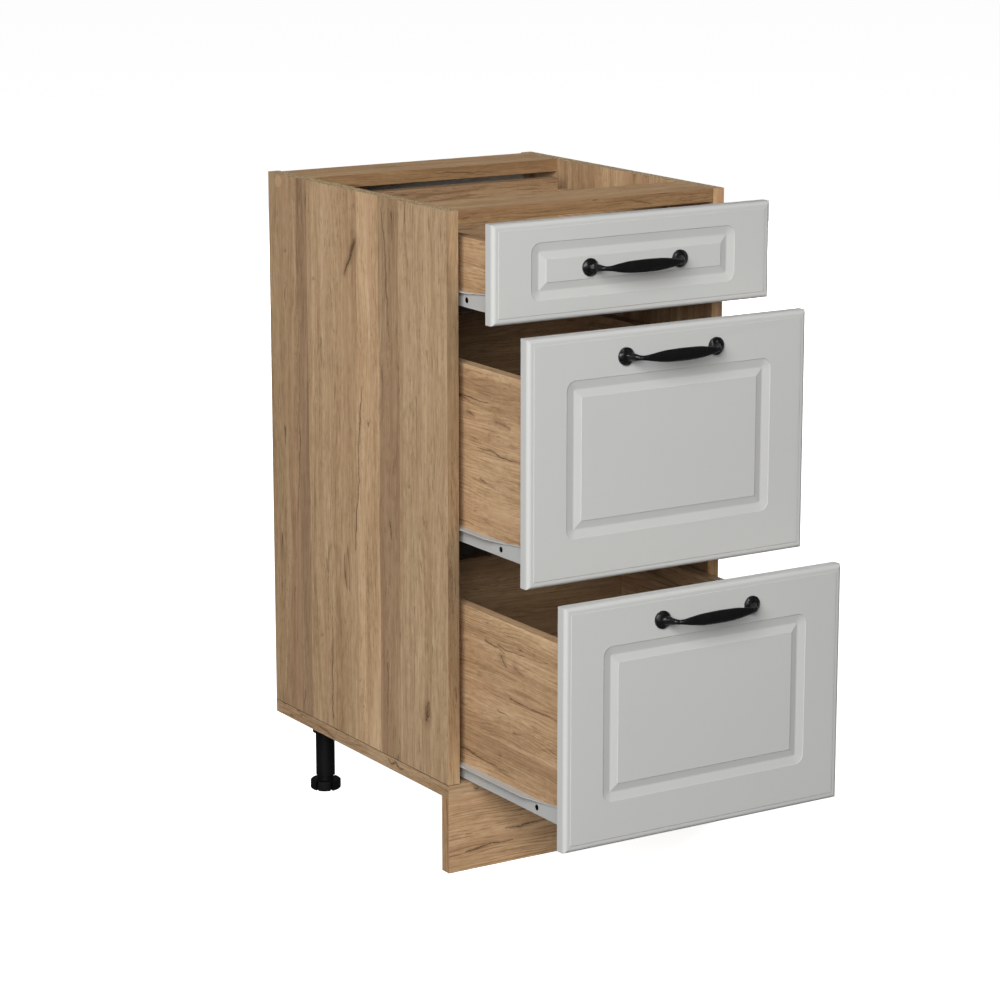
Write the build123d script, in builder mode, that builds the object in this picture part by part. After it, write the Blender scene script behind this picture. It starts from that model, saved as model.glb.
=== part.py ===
from build123d import *
from math import hypot
import os

os.makedirs("parts", exist_ok=True)

# Millimetres. X runs to the right, Y to the back, Z up from the floor.

# Carcass
WIDTH = 400.0
DEPTH = 441.0
HEIGHT = 720.0
LEG_HEIGHT = 96.0
BOARD = 16.0
RAIL_DEPTH = 80.0
HARDBOARD = 3.0
SHEET_PLAY = 0.1
GROOVE_DEPTH = 8.0
BACK_INSET = 5.0
BACK_TOP_GAP = 1.0
BACK_SCREW_INSET = 26.5
BACK_SCREW_DROP = 10.0
RAIL_CAM_INSET = 55.0
RAIL_DOWEL_INSET = 20.0
BASE_SCREW_INSETS = (90.0, 220.0, 330.0)

# Fronts, and how far each one is pulled out of the closed carcass
FRONT_BOARD = 16.0
SIDE_REVEAL = 2.0
TOP_REVEAL = 5.0
BOTTOM_REVEAL = 3.0
FRONT_GAP = 4.0
TOP_FRONT_HEIGHT = 118.0
TOP_OPENING = 82.5
MIDDLE_OPENING = 158.5
BOTTOM_OPENING = 238.0

# Milling of the fronts
EDGE_ROUND = 5.0
EDGE_BAND = 8.4
FIELD_STEP = 0.6
FRAME_MARGIN = 53.0
TOP_FRAME_MARGIN = 25.0
FRAME_SINK = 2.6
FRAME_STEP = 0.6
FRAME_SLOPE = 10.0
FRAME_FLOOR = 1.5
FRAME_BEVEL = 9.0
FRAME_CORNER = 12.0
FRAME_FLOOR_CORNER = 4.0

# Drawer boxes
BOX_BEYOND_RUNNER = 4.0
TOP_BOX_LIFT = 6.5
RAIL_CLEARANCE = 1.5
LOW_BOX_DROP = 58.0
BASE_GROOVE_UP = 12.7
BOARD_ROUND = 1.5
BOX_JOINT_UP = 30.0
BOX_JOINT_DROP = 20.0

# Roller runners
RUNNER_GAP = 13.0
RUNNER_LENGTH = 400.0
RUNNER_INSET = 20.0
SHEET = 1.2
SIDE_PLAY = 1.0
RAIL_FLANGE = 12.0
TRACK_TOP = 18.8
TRACK_RISE = 3.5
TRACK_RISE_START = 72.0
TRACK_RISE_END = 40.0
TRACK_NARROW = 2.0
TRACK_TAPER_START = 72.0
TRACK_TAPER_END = 105.0
CHANNEL_DROP = 3.2
CHANNEL_HEAD_PLAY = 1.2
CHANNEL_HEAD_START = 52.0
CHANNEL_FLOOR_PLAY = 0.1
ROLLER_RADIUS = 9.5
ROLLER_WIDTH = 7.0
ROLLER_PLAY = 0.3
ROLLER_FRONT_INSET = 12.0
ROLLER_BACK_INSET = 14.0
PIN_RADIUS = 2.5
PIN_PLAY = 0.05
PIN_BOSS = 4.0
PIN_HEAD = 3.5
RAIL_SCREW_SPOTS = (83.0, 262.0, 360.0)
RAIL_SCREW_UP = 8.8
CHANNEL_SCREW_SPOTS = (50.0, 177.0, 337.0)

# Handles
HANDLE_CENTRES = 128.0
LOW_HANDLE_DROP = 31.0
ROSETTE_RADIUS = 10.7
ROSETTE_RIM = 2.4
ROSETTE_RISE = 6.0
DOME_SHARE = 0.66
GRIP_REACH = 25.0
GRIP_THICKNESS = 9.6
GRIP_HEIGHT = 15.6
# Along half the grip: shares of the half span, of the reach, of the height and of the thickness
GRIP_SHARES = (
    (0.975, 0.10, 0.76, 1.16),
    (0.940, 0.34, 0.62, 0.90),
    (0.905, 0.58, 0.48, 0.68),
    (0.860, 0.77, 0.38, 0.54),
    (0.795, 0.88, 0.39, 0.52),
    (0.710, 0.93, 0.50, 0.58),
    (0.600, 0.95, 0.66, 0.66),
    (0.470, 0.97, 0.82, 0.76),
    (0.320, 0.99, 0.93, 0.87),
    (0.160, 1.00, 0.98, 0.96),
    (0.000, 1.00, 1.00, 1.00),
)

# Plinth, legs and feet
PLINTH_BOARD = 16.0
LEG_SIDE_INSET = 38.0
LEG_BACK_INSET = 63.0
FOOT_CLEARANCE = 1.0
TUBE_RADIUS = 12.5
TUBE_WALL = 2.0
TUBE_START = 18.8
TUBE_FIT = 0.05
PLATE_THICKNESS = 3.0
PLATE_HALF_WIDTH = 19.0
PLATE_REACH = 45.0
PLATE_CORNER = 6.0
COLLAR_RADIUS = 16.2
COLLAR_DEPTH = 18.0
LEG_SCREW_SPOTS = (24.0, 38.0)
LEG_SCREW_SPREAD = 12.0
FOOT_RADIUS = 20.0
FOOT_HEIGHT = 12.6
FOOT_EASE = 1.5
FOOT_NOTCHES = 6
FOOT_NOTCH = 3.8
FOOT_NOTCH_DEPTH = 6.0
FOOT_NOTCH_START = 25.0
FOOT_STEM = 42.4
CLIP_UP = 52.0
CLIP_PLATE = 2.5
CLIP_PLATE_WIDTH = 36.0
CLIP_PLATE_HEIGHT = 24.0
CLIP_RING = 2.9
CLIP_RING_HEIGHT = 16.0
CLIP_PLAY = 0.1
CLIP_MOUTH = 16.0
CLIP_SCREW_SPREAD = 12.5

# Fasteners
SCREW_PLAY = 0.1
HOUSING_SCREW_RADIUS = 3.5
HOUSING_SCREW_LENGTH = 50.0
HOUSING_HEAD_RADIUS = 5.0
HOUSING_HEAD = 3.0
HEX_RADIUS = 2.4
HEX_DEPTH = 2.5
WOOD_SCREW_RADIUS = 1.75
WOOD_SCREW_LENGTH = 16.0
WOOD_HEAD_RADIUS = 3.5
WOOD_HEAD = 2.0
CROSS_LENGTH = 3.8
CROSS_WIDTH = 0.8
CROSS_DEPTH = 1.2
TIP = 2.0
HANDLE_SCREW_RADIUS = 2.0
HANDLE_SCREW_HEAD = 4.0
HANDLE_SCREW_HEAD_HEIGHT = 2.4
HANDLE_SCREW_GRIP = 4.6
CAM_RADIUS = 7.3
CAM_HEIGHT = 12.0
CAM_BACKSET = 24.0
CAM_PLAY = 0.2
BOLT_RADIUS = 3.0
BOLT_GRIP = 10.5
DOWEL_RADIUS = 4.0
DOWEL_LENGTH = 30.0
DOWEL_GRIP = 10.0
CAP_RADIUS = 8.0
CAP_HEIGHT = 0.4

# Places worked out from the sizes above
CARCASS_TOP = LEG_HEIGHT + HEIGHT
BASE_TOP = LEG_HEIGHT + BOARD
RAIL_BOTTOM = CARCASS_TOP - BOARD
INNER_HALF = WIDTH / 2 - BOARD
BOX_HALF = INNER_HALF - RUNNER_GAP
BOX_LENGTH = RUNNER_LENGTH + BOX_BEYOND_RUNNER
FRONT_WIDTH = WIDTH - 2 * SIDE_REVEAL
HANDLE_REACH = GRIP_REACH + GRIP_THICKNESS / 2
CARCASS_FRONT = (BOTTOM_OPENING + FRONT_BOARD + HANDLE_REACH - DEPTH) / 2
CARCASS_BACK = CARCASS_FRONT + DEPTH
GROOVE_WIDTH = HARDBOARD + 2 * SHEET_PLAY
GROOVE_FRONT = CARCASS_BACK - BACK_INSET - GROOVE_WIDTH
BACK_RAIL_FRONT = GROOVE_FRONT - RAIL_DEPTH
LOW_FRONTS = HEIGHT - TOP_REVEAL - BOTTOM_REVEAL - 2 * FRONT_GAP - TOP_FRONT_HEIGHT
LOW_FRONT_HEIGHT = LOW_FRONTS / 2
LOW_BOX_LIFT = BOARD + CHANNEL_DROP + CHANNEL_FLOOR_PLAY - BOTTOM_REVEAL
LEG_X = WIDTH / 2 - LEG_SIDE_INSET
FRONT_LEG_Y = CARCASS_FRONT + PLINTH_BOARD + FOOT_CLEARANCE + FOOT_RADIUS
BACK_LEG_Y = CARCASS_BACK - LEG_BACK_INSET
LEG_SPOTS = ((-LEG_X, FRONT_LEG_Y), (-LEG_X, BACK_LEG_Y))
PLATE_UNDERSIDE = LEG_HEIGHT - PLATE_THICKNESS
BORE_RADIUS = TUBE_RADIUS - TUBE_WALL
AXLE_UP = ROLLER_RADIUS + ROLLER_PLAY + SHEET - CHANNEL_DROP
CHANNEL_STANDOFF = RUNNER_GAP - 2 * SHEET - ROLLER_WIDTH - SIDE_PLAY
RAIL_STANDOFF = SIDE_PLAY - ROLLER_PLAY
CHANNEL_WALL = -INNER_HALF + SHEET
RAIL_WALL = -BOX_HALF - SHEET
LEFT = (-1, 0, 0)
RIGHT = (1, 0, 0)
FORWARD = (0, -1, 0)
BACKWARD = (0, 1, 0)
DOWN = (0, 0, -1)


class Drawer:
    """Where one drawer stands, with its front pulled out to its opening."""

    def __init__(self, name, opening, front_bottom, front_height, frame_margin, box_lift):
        self.name = name
        self.front_back = CARCASS_FRONT - opening
        self.front_bottom = front_bottom
        self.front_height = front_height
        self.frame_margin = frame_margin
        self.runner = front_bottom + box_lift
        self.side_bottom = self.runner + SHEET
        self.sheet_bottom = self.side_bottom + BASE_GROOVE_UP + SHEET_PLAY
        self.back_bottom = self.sheet_bottom + HARDBOARD
        self.box_end = self.front_back + BOX_LENGTH
        self.place_low_box()

    def place_low_box(self):
        """Side height and handle height of a deep drawer."""
        front_top = self.front_bottom + self.front_height
        self.side_top = front_top - LOW_BOX_DROP
        self.handle_up = front_top - LOW_HANDLE_DROP

    def place_top_box(self):
        """Side height and handle height of the shallow drawer under the rails."""
        back_rise = self.back_bottom - self.side_bottom
        self.side_top = RAIL_BOTTOM - RAIL_CLEARANCE - back_rise
        self.handle_up = self.front_bottom + self.front_height / 2

    def joint_heights(self):
        """Heights of the two fittings in each corner of the box."""
        return (self.side_bottom + BOX_JOINT_UP, self.side_top - BOX_JOINT_DROP)


def make_drawers():
    """The three drawers, from the top one down."""
    bottom_z = LEG_HEIGHT + BOTTOM_REVEAL
    middle_z = bottom_z + LOW_FRONT_HEIGHT + FRONT_GAP
    top_z = middle_z + LOW_FRONT_HEIGHT + FRONT_GAP
    top = Drawer("top", TOP_OPENING, top_z, TOP_FRONT_HEIGHT, TOP_FRAME_MARGIN, TOP_BOX_LIFT)
    top.place_top_box()
    middle = Drawer("middle", MIDDLE_OPENING, middle_z, LOW_FRONT_HEIGHT, FRAME_MARGIN, LOW_BOX_LIFT)
    bottom = Drawer("bottom", BOTTOM_OPENING, bottom_z, LOW_FRONT_HEIGHT, FRAME_MARGIN, LOW_BOX_LIFT)
    return (top, middle, bottom)


DRAWERS = make_drawers()


def save(piece, name):
    """Labels a finished piece and writes it."""
    piece.part.label = name
    export_step(piece.part, f"parts/{name}.step")


def block(x, y, z, mode=Mode.ADD):
    """Box between three pairs of limits, in the open part."""
    with Locations(((x[0] + x[1]) / 2, (y[0] + y[1]) / 2, (z[0] + z[1]) / 2)):
        Box(x[1] - x[0], y[1] - y[0], z[1] - z[0], mode=mode)


def cut(tool, places):
    """Takes a tool out of the open part at each place."""
    with Locations(*places):
        add(tool, mode=Mode.SUBTRACT)


def group(tool, places, mirrored=False):
    """Copies of a solid at each place, and their mirror images."""
    with BuildPart() as copies:
        with Locations(*places):
            add(tool)
        if mirrored:
            mirror(about=Plane.YZ)
    return copies


def other_hand(piece):
    """Mirror image of a left-hand piece."""
    with BuildPart() as image:
        mirror(piece.part, about=Plane.YZ)
    return image


def facing(x, y, z, outward):
    """Place at a point, its local Z axis pointing outward."""
    return Plane(origin=(x, y, z), z_dir=outward).location


# Fasteners, each made once along its local Z axis


def countersunk_screw(radius, length, head_radius, head, play=0.0):
    """Screw down -Z with its head flush at Z = 0; play widens it into its own hole."""
    wide = radius + play
    with BuildPart() as screw:
        with BuildSketch(Plane.XZ):
            with BuildLine():
                Polyline(
                    (0, 0),
                    (head_radius + play, 0),
                    (wide, -head),
                    (wide, TIP - length),
                    (0, -length - play),
                    close=True,
                )
            make_face()
        revolve(axis=Axis.Z)
    return screw


def housing_screw():
    """Thick screw for board edges, with a hexagon socket."""
    screw = countersunk_screw(
        HOUSING_SCREW_RADIUS, HOUSING_SCREW_LENGTH, HOUSING_HEAD_RADIUS, HOUSING_HEAD
    )
    with BuildPart() as socketed:
        add(screw.part)
        with BuildSketch():
            RegularPolygon(HEX_RADIUS, 6)
        extrude(amount=-HEX_DEPTH, mode=Mode.SUBTRACT)
    return socketed


def wood_screw():
    """Countersunk chipboard screw with a cross recess."""
    screw = countersunk_screw(WOOD_SCREW_RADIUS, WOOD_SCREW_LENGTH, WOOD_HEAD_RADIUS, WOOD_HEAD)
    with BuildPart() as crossed:
        add(screw.part)
        with BuildSketch():
            Rectangle(CROSS_LENGTH, CROSS_WIDTH)
            Rectangle(CROSS_WIDTH, CROSS_LENGTH)
        extrude(amount=-CROSS_DEPTH, mode=Mode.SUBTRACT)
    return crossed


def pan_screw(through):
    """Handle screw down -Z, its head standing on Z = 0."""
    with BuildPart() as screw:
        with BuildSketch():
            Circle(HANDLE_SCREW_HEAD)
        extrude(amount=HANDLE_SCREW_HEAD_HEIGHT)
        fillet(screw.faces().sort_by(Axis.Z)[-1].edges(), HANDLE_SCREW_HEAD_HEIGHT / 3)
        with BuildSketch(Plane.XY.offset(HANDLE_SCREW_HEAD_HEIGHT)):
            Rectangle(CROSS_LENGTH, CROSS_WIDTH)
            Rectangle(CROSS_WIDTH, CROSS_LENGTH)
        extrude(amount=-CROSS_DEPTH, mode=Mode.SUBTRACT)
        with BuildSketch():
            Circle(HANDLE_SCREW_RADIUS)
        extrude(amount=-through - HANDLE_SCREW_GRIP)
    return screw


def rod(radius, low, high):
    """Round bar along local Z between two heights."""
    with BuildPart() as bar:
        with BuildSketch(Plane.XY.offset(low)):
            Circle(radius)
        extrude(amount=high - low)
    return bar


def cam_disc(radius, height):
    """Round cam across the joint, reaching to the board's face at local +X."""
    face = Plane(origin=(BOARD / 2 - CAM_PLAY, 0, -CAM_BACKSET), z_dir=RIGHT)
    with BuildPart() as disc:
        with BuildSketch(face):
            Circle(radius)
        extrude(amount=-height)
    return disc


def cam():
    """Cam with the pocket that takes the bolt's head and a screwdriver slot."""
    face = Plane(origin=(BOARD / 2 - CAM_PLAY, 0, -CAM_BACKSET), z_dir=RIGHT)
    with BuildPart() as fitting:
        add(cam_disc(CAM_RADIUS, CAM_HEIGHT).part)
        add(rod(BOLT_RADIUS + CAM_PLAY, -CAM_BACKSET - BOLT_RADIUS, 0).part, mode=Mode.SUBTRACT)
        with BuildSketch(face):
            Rectangle(CROSS_WIDTH, 2 * CROSS_LENGTH)
            Rectangle(2 * CROSS_LENGTH, CROSS_WIDTH)
        extrude(amount=-CROSS_DEPTH, mode=Mode.SUBTRACT)
    return fitting


def cam_bore():
    """What the cam and its bolt take out of the board that holds the cam."""
    with BuildPart() as bore:
        with BuildSketch(Plane(origin=(BOARD / 2, 0, -CAM_BACKSET), z_dir=RIGHT)):
            Circle(CAM_RADIUS + CAM_PLAY)
        extrude(amount=-CAM_HEIGHT - 2 * CAM_PLAY)
        add(rod(BOLT_RADIUS + CAM_PLAY, -CAM_BACKSET, 0).part)
    return bore


HOUSING_SCREW = housing_screw().part
HOUSING_HOLE = countersunk_screw(
    HOUSING_SCREW_RADIUS, HOUSING_SCREW_LENGTH, HOUSING_HEAD_RADIUS, HOUSING_HEAD, SCREW_PLAY
).part
WOOD_SCREW = wood_screw().part
WOOD_HOLE = countersunk_screw(
    WOOD_SCREW_RADIUS, WOOD_SCREW_LENGTH, WOOD_HEAD_RADIUS, WOOD_HEAD, SCREW_PLAY
).part
CAM = cam().part
CAM_BORE = cam_bore().part
BOLT = rod(BOLT_RADIUS, -CAM_BACKSET - BOLT_RADIUS / 2, BOLT_GRIP).part
BOLT_HOLE = rod(BOLT_RADIUS + SCREW_PLAY, 0, BOLT_GRIP + SCREW_PLAY).part
DOWEL = rod(DOWEL_RADIUS, DOWEL_GRIP - DOWEL_LENGTH, DOWEL_GRIP).part
DOWEL_HOLE = rod(
    DOWEL_RADIUS + SCREW_PLAY, DOWEL_GRIP - DOWEL_LENGTH - SCREW_PLAY, DOWEL_GRIP + SCREW_PLAY
).part
HANDLE_HOLE = rod(HANDLE_SCREW_RADIUS + SCREW_PLAY, -HANDLE_SCREW_GRIP - SCREW_PLAY, FRONT_BOARD).part


# Places of the carcass fasteners, on the left side


def back_rail_screw():
    """Outer face of the side panel, where the back rail's screw enters."""
    return facing(
        -WIDTH / 2, CARCASS_BACK - BACK_SCREW_INSET, CARCASS_TOP - BACK_SCREW_DROP, LEFT
    )


def base_screws():
    """Underside of the base panel, where the side panel's screws enter."""
    middle = -WIDTH / 2 + BOARD / 2
    return [facing(middle, CARCASS_FRONT + inset, LEG_HEIGHT, DOWN) for inset in BASE_SCREW_INSETS]


def rail_joint(inset):
    """End face of the front rail, its fitting opening downward."""
    end = Plane(
        origin=(-INNER_HALF, CARCASS_FRONT + inset, RAIL_BOTTOM + BOARD / 2),
        x_dir=DOWN,
        z_dir=LEFT,
    )
    return end.location


def channel_screws(drawer):
    """Web of a cabinet channel, where its screws enter."""
    start = CARCASS_FRONT + RUNNER_INSET
    height = drawer.runner + RAIL_SCREW_UP
    return [facing(CHANNEL_WALL, start + spot, height, RIGHT) for spot in CHANNEL_SCREW_SPOTS]


def leg_screws():
    """Undersides of the mounting plates, where their screws enter."""
    return [
        facing(x + spot, y + side * LEG_SCREW_SPREAD, PLATE_UNDERSIDE, DOWN)
        for x, y in LEG_SPOTS
        for spot in LEG_SCREW_SPOTS
        for side in (-1, 1)
    ]


def clip_screws():
    """Back face of the plinth clip, where its screws enter."""
    face = CARCASS_FRONT + PLINTH_BOARD + CLIP_PLATE
    return [facing(-LEG_X + side * CLIP_SCREW_SPREAD, face, CLIP_UP, BACKWARD) for side in (-1, 1)]


# Carcass boards


def side_panel():
    """Left side panel, standing on the base panel and grooved for the back sheet."""
    with BuildPart() as panel:
        block((-WIDTH / 2, -INNER_HALF), (CARCASS_FRONT, CARCASS_BACK), (BASE_TOP, CARCASS_TOP))
        block(
            (-INNER_HALF - GROOVE_DEPTH, -INNER_HALF),
            (GROOVE_FRONT, GROOVE_FRONT + GROOVE_WIDTH),
            (BASE_TOP, CARCASS_TOP),
            mode=Mode.SUBTRACT,
        )
        cut(HOUSING_HOLE, [back_rail_screw()] + base_screws())
        cut(BOLT_HOLE, [rail_joint(RAIL_CAM_INSET)])
        cut(DOWEL_HOLE, [rail_joint(RAIL_DOWEL_INSET)])
        for drawer in DRAWERS:
            cut(WOOD_HOLE, channel_screws(drawer))
    return panel


def base_panel():
    """Full-width base under the side panels, grooved for the back sheet."""
    with BuildPart() as panel:
        block((-WIDTH / 2, 0), (CARCASS_FRONT, CARCASS_BACK), (LEG_HEIGHT, BASE_TOP))
        block(
            (-INNER_HALF - GROOVE_DEPTH, 0),
            (GROOVE_FRONT, GROOVE_FRONT + GROOVE_WIDTH),
            (BASE_TOP - GROOVE_DEPTH, BASE_TOP),
            mode=Mode.SUBTRACT,
        )
        cut(HOUSING_HOLE, base_screws())
        cut(WOOD_HOLE, leg_screws())
        mirror(about=Plane.YZ)
    return panel


def front_rail():
    """Flat top rail at the front, held by a cam and a dowel at each end."""
    with BuildPart() as rail:
        block(
            (-INNER_HALF, 0),
            (CARCASS_FRONT, CARCASS_FRONT + RAIL_DEPTH),
            (RAIL_BOTTOM, CARCASS_TOP),
        )
        cut(CAM_BORE, [rail_joint(RAIL_CAM_INSET)])
        cut(DOWEL_HOLE, [rail_joint(RAIL_DOWEL_INSET)])
        mirror(about=Plane.YZ)
    return rail


def back_rail():
    """Flat top rail in front of the back sheet, screwed through the side panels."""
    with BuildPart() as rail:
        block((-INNER_HALF, 0), (BACK_RAIL_FRONT, GROOVE_FRONT), (RAIL_BOTTOM, CARCASS_TOP))
        cut(HOUSING_HOLE, [back_rail_screw()])
        mirror(about=Plane.YZ)
    return rail


def back_sheet():
    """Hardboard back, held in the grooves on three sides."""
    half = INNER_HALF + GROOVE_DEPTH - SHEET_PLAY
    start = GROOVE_FRONT + SHEET_PLAY
    with BuildPart() as sheet:
        block(
            (-half, half),
            (start, start + HARDBOARD),
            (BASE_TOP - GROOVE_DEPTH + SHEET_PLAY, CARCASS_TOP - BACK_TOP_GAP),
        )
    return sheet


def plinth():
    """Board that closes the space under the carcass, flush with its front."""
    with BuildPart() as board:
        block(
            (-WIDTH / 2, WIDTH / 2),
            (CARCASS_FRONT, CARCASS_FRONT + PLINTH_BOARD),
            (0, LEG_HEIGHT),
        )
        places = clip_screws()
        cut(WOOD_HOLE, places)
        cut(WOOD_HOLE, [place.mirror(Plane.YZ) for place in places])
    return board


# Legs


def mounting_plates():
    """Plates with a collar, under the base panel at each leg, offset towards the middle."""
    with BuildPart() as plates:
        with BuildSketch(Plane.XY.offset(PLATE_UNDERSIDE)):
            for x, y in LEG_SPOTS:
                with Locations((x + (PLATE_REACH - PLATE_HALF_WIDTH) / 2, y)):
                    RectangleRounded(
                        PLATE_REACH + PLATE_HALF_WIDTH, 2 * PLATE_HALF_WIDTH, PLATE_CORNER
                    )
        extrude(amount=PLATE_THICKNESS)
        with BuildSketch(Plane.XY.offset(LEG_HEIGHT - COLLAR_DEPTH)):
            with Locations(*LEG_SPOTS):
                Circle(COLLAR_RADIUS)
                Circle(TUBE_RADIUS + TUBE_FIT, mode=Mode.SUBTRACT)
        extrude(amount=COLLAR_DEPTH - PLATE_THICKNESS)
        cut(WOOD_HOLE, leg_screws())
        mirror(about=Plane.YZ)
    return plates


def leg_tubes():
    """Round tubes that stand in the collars."""
    with BuildPart() as tubes:
        with BuildSketch(Plane.XY.offset(TUBE_START)):
            with Locations(*LEG_SPOTS):
                Circle(TUBE_RADIUS)
                Circle(BORE_RADIUS, mode=Mode.SUBTRACT)
        extrude(amount=PLATE_UNDERSIDE - TUBE_START)
        mirror(about=Plane.YZ)
    return tubes


def foot(x, y):
    """Height-adjusting foot: notched disc under the tube, and the stem that turns inside it."""
    stem = BORE_RADIUS - TUBE_FIT
    with BuildPart() as piece:
        with BuildSketch(Plane.XZ):
            with BuildLine():
                Polyline(
                    (0, 0),
                    (FOOT_RADIUS - FOOT_EASE, 0),
                    (FOOT_RADIUS, FOOT_EASE),
                    (FOOT_RADIUS, FOOT_HEIGHT - FOOT_EASE),
                    (FOOT_RADIUS - FOOT_EASE, FOOT_HEIGHT),
                    (stem, FOOT_HEIGHT),
                    (stem, FOOT_HEIGHT + FOOT_STEM),
                    (0, FOOT_HEIGHT + FOOT_STEM),
                    close=True,
                )
            make_face()
        revolve(axis=Axis.Z)
        with PolarLocations(FOOT_RADIUS, FOOT_NOTCHES, start_angle=FOOT_NOTCH_START):
            Box(2 * FOOT_NOTCH_DEPTH, FOOT_NOTCH, 3 * FOOT_HEIGHT, mode=Mode.SUBTRACT)
    with BuildPart() as placed:
        with Locations((x, y, 0)):
            add(piece.part)
    return placed


def plinth_clips():
    """Spring clips on the plinth that snap round the front legs."""
    plate_y = CARCASS_FRONT + PLINTH_BOARD
    inner = TUBE_RADIUS + CLIP_PLAY
    low = CLIP_UP - CLIP_RING_HEIGHT / 2
    high = CLIP_UP + CLIP_RING_HEIGHT / 2
    with BuildPart() as clips:
        with BuildSketch(Plane.XY.offset(low)):
            with Locations((-LEG_X, FRONT_LEG_Y)):
                Circle(inner + CLIP_RING)
        extrude(amount=CLIP_RING_HEIGHT)
        block(
            (-LEG_X - CLIP_RING, -LEG_X + CLIP_RING),
            (plate_y, FRONT_LEG_Y - TUBE_RADIUS),
            (low, high),
        )
        with BuildSketch(Plane.XY.offset(low)):
            with Locations((-LEG_X, FRONT_LEG_Y)):
                Circle(inner)
        extrude(amount=CLIP_RING_HEIGHT, mode=Mode.SUBTRACT)
        block(
            (-LEG_X - CLIP_MOUTH / 2, -LEG_X + CLIP_MOUTH / 2),
            (FRONT_LEG_Y, FRONT_LEG_Y + 2 * inner),
            (low, high),
            mode=Mode.SUBTRACT,
        )
        block(
            (-LEG_X - CLIP_PLATE_WIDTH / 2, -LEG_X + CLIP_PLATE_WIDTH / 2),
            (plate_y, plate_y + CLIP_PLATE),
            (CLIP_UP - CLIP_PLATE_HEIGHT / 2, CLIP_UP + CLIP_PLATE_HEIGHT / 2),
        )
        cut(WOOD_HOLE, clip_screws())
        mirror(about=Plane.YZ)
    return clips


# Runners


def channel_axle(drawer):
    """Y and Z of the pin near the front of a cabinet channel."""
    return CARCASS_FRONT + RUNNER_INSET + ROLLER_FRONT_INSET, drawer.runner + AXLE_UP


def rail_axle(drawer):
    """Y and Z of the pin near the back of a drawer rail."""
    return drawer.front_back + RUNNER_LENGTH - ROLLER_BACK_INSET, drawer.runner + AXLE_UP


def cabinet_channels(drawer):
    """Channels on the side panels, each with the pin of its front roller."""
    start = CARCASS_FRONT + RUNNER_INSET
    end = start + RUNNER_LENGTH
    low = drawer.runner - CHANNEL_DROP
    head = drawer.runner + TRACK_TOP + CHANNEL_HEAD_PLAY
    inner_edge = RAIL_WALL - CHANNEL_HEAD_PLAY
    with BuildPart() as channels:
        block((-INNER_HALF, CHANNEL_WALL), (start, end), (low, head + SHEET))
        block((-INNER_HALF, inner_edge), (start, end), (low, low + SHEET))
        block((-INNER_HALF, inner_edge), (start + CHANNEL_HEAD_START, end), (head, head + SHEET))
        block((-INNER_HALF, inner_edge), (end - SHEET, end), (low, head + SHEET))
        add(roller_pin(CHANNEL_WALL, RIGHT, CHANNEL_STANDOFF, *channel_axle(drawer)).part)
        cut(WOOD_HOLE, channel_screws(drawer))
        mirror(about=Plane.YZ)
    return channels


def roller_pin(wall, outward, standoff, y, z):
    """Pin on a wall: a shoulder behind the roller and a riveted head in front of it."""
    base = Plane(origin=(wall, y, z), z_dir=outward)
    head_start = standoff + ROLLER_WIDTH + ROLLER_PLAY / 2
    with BuildPart() as pin:
        with BuildSketch(base):
            Circle(PIN_BOSS)
        extrude(amount=standoff - ROLLER_PLAY)
        with BuildSketch(base):
            Circle(PIN_RADIUS)
        extrude(amount=head_start)
        with BuildSketch(base.offset(head_start)):
            Circle(PIN_HEAD)
        extrude(amount=ROLLER_PLAY)
    return pin


def rollers(wall, outward, standoff, y, z):
    """Pair of rollers on their pins' axis, their rims chamfered."""
    with BuildPart() as pair:
        with BuildSketch(Plane(origin=(wall, y, z), z_dir=outward).offset(standoff)):
            Circle(ROLLER_RADIUS)
            Circle(PIN_RADIUS + PIN_PLAY, mode=Mode.SUBTRACT)
        extrude(amount=ROLLER_WIDTH)
        rims = pair.edges().filter_by(GeomType.CIRCLE).filter_by(lambda e: e.radius > PIN_HEAD)
        chamfer(rims, ROLLER_PLAY)
        mirror(about=Plane.YZ)
    return pair


def drawer_rails(drawer):
    """Rails under the box sides: web, bearing flange, and the track that runs on the rollers."""
    start = drawer.front_back
    end = start + RUNNER_LENGTH
    low = drawer.runner
    top = low + TRACK_TOP
    outer = CHANNEL_WALL + SIDE_PLAY
    bend = start + TRACK_RISE_START
    level = start + TRACK_RISE_END
    raised = top + TRACK_RISE
    with BuildPart() as rails:
        with BuildSketch(Plane.YZ.offset(RAIL_WALL)):
            with BuildLine():
                Polyline(
                    (start, low),
                    (end, low),
                    (end, top),
                    (bend, top),
                    (level, raised),
                    (start, raised),
                    close=True,
                )
            make_face()
        extrude(amount=SHEET)
        with BuildSketch(Plane.YZ.offset(outer)):
            with BuildLine():
                Polyline(
                    (start, raised - SHEET),
                    (level, raised - SHEET),
                    (bend, top - SHEET),
                    (end, top - SHEET),
                    (end, top),
                    (bend, top),
                    (level, raised),
                    (start, raised),
                    close=True,
                )
            make_face()
        extrude(amount=RAIL_WALL - outer)
        with BuildSketch(Plane.XY.offset(top - 2 * SHEET)):
            with BuildLine():
                Polyline(
                    (outer, start),
                    (RAIL_WALL - TRACK_NARROW, start),
                    (RAIL_WALL - TRACK_NARROW, start + TRACK_TAPER_START),
                    (outer, start + TRACK_TAPER_END),
                    close=True,
                )
            make_face()
        extrude(amount=2 * SHEET + TRACK_RISE, mode=Mode.SUBTRACT)
        block((RAIL_WALL, -BOX_HALF + RAIL_FLANGE), (start, end), (low, low + SHEET))
        add(roller_pin(RAIL_WALL, LEFT, RAIL_STANDOFF, *rail_axle(drawer)).part)
        cut(WOOD_HOLE, rail_screws(drawer))
        mirror(about=Plane.YZ)
    return rails


# Places of the fasteners of one drawer, on the left side


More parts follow.
